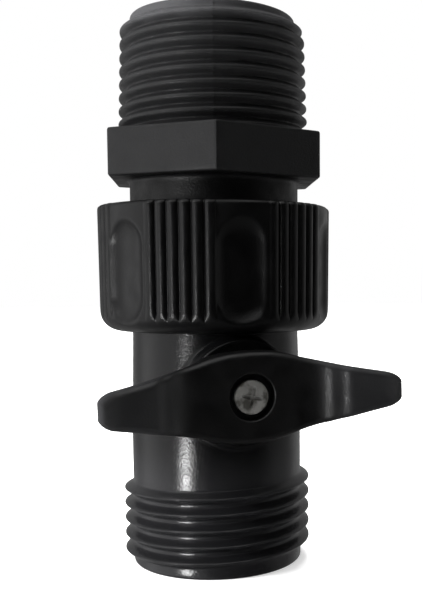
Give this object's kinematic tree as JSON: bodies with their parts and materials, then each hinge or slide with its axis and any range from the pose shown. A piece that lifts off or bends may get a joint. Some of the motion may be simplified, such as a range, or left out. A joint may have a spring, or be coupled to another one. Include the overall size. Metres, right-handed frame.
{
  "type": "garden hose shut-off valve with thread adapter",
  "caption": "Plastic quarter-turn ball valve for garden hose with a butterfly lever, a ribbed swivel nut and a hexagon double-male thread adapter.",
  "frame": {"origin": "centre of the outlet end face of the valve body, on the water-way axis", "axes": "+Z along the water way from the outlet towards the adapter's pipe thread; the valve stem and lever screw point along -Y; +X is to the right when the lever is seen from the front"},
  "size_m": [0.04, 0.0374, 0.0772],
  "materials": {
    "body_plastic": "satin moulded black plastic",
    "nut_plastic": "satin moulded black plastic",
    "lever_plastic": "satin moulded black plastic",
    "adapter_plastic": "matte moulded charcoal plastic",
    "inner_plastic": "satin moulded plastic",
    "ball_plastic": "polished moulded plastic",
    "seat_plastic": "smooth slippery white plastic",
    "seal_rubber": "soft black rubber",
    "spring_steel": "plain spring steel",
    "screw_steel": "worn zinc-plated steel"
  },
  "bodies": {
    "body": {"valve_body": "body_plastic", "seat_retainer": "inner_plastic", "seat_upper": "seat_plastic", "seat_lower": "seat_plastic", "seat_o_ring_upper": "seal_rubber", "seat_o_ring_lower": "seal_rubber", "nut_retaining_ring": "spring_steel"},
    "lever": {"lever_handle": "lever_plastic", "lever_screw": "screw_steel", "valve_stem": "inner_plastic", "stem_o_ring_inner": "seal_rubber", "stem_o_ring_outer": "seal_rubber", "stem_thrust_washer": "seat_plastic"},
    "ball": {"valve_ball": "ball_plastic"},
    "nut": {"swivel_nut": "nut_plastic", "hose_washer": "seal_rubber"},
    "adapter": {"adapter_nipple": "adapter_plastic"}
  },
  "joints": [
    {"name": "lever_turn", "type": "hinge", "parent": "body", "child": "lever", "pos_m": [0, 0, 0.0256], "axis": [0, -1, 0], "range_deg": [-1.8, 88.2]},
    {"name": "ball_turn", "type": "hinge", "parent": "body", "child": "ball", "pos_m": [0, 0, 0.0256], "axis": [0, -1, 0], "range_deg": [-1.8, 88.2]},
    {"name": "nut_spin", "type": "hinge", "parent": "body", "child": "nut", "pos_m": [0, 0, 0.0423], "axis": [0, 0, 1], "range_deg": [-1350, 0]},
    {"name": "adapter_travel", "type": "slide", "parent": "body", "child": "adapter", "axis": [0, 0, 1], "range_m": [0, 0.00828]}
  ],
  "couplings": [
    {"joint": "ball_turn", "follows": "lever_turn", "ratio": 1},
    {"joint": "adapter_travel", "follows": "nut_spin", "m_per_rad": -0.00035152}
  ]
}
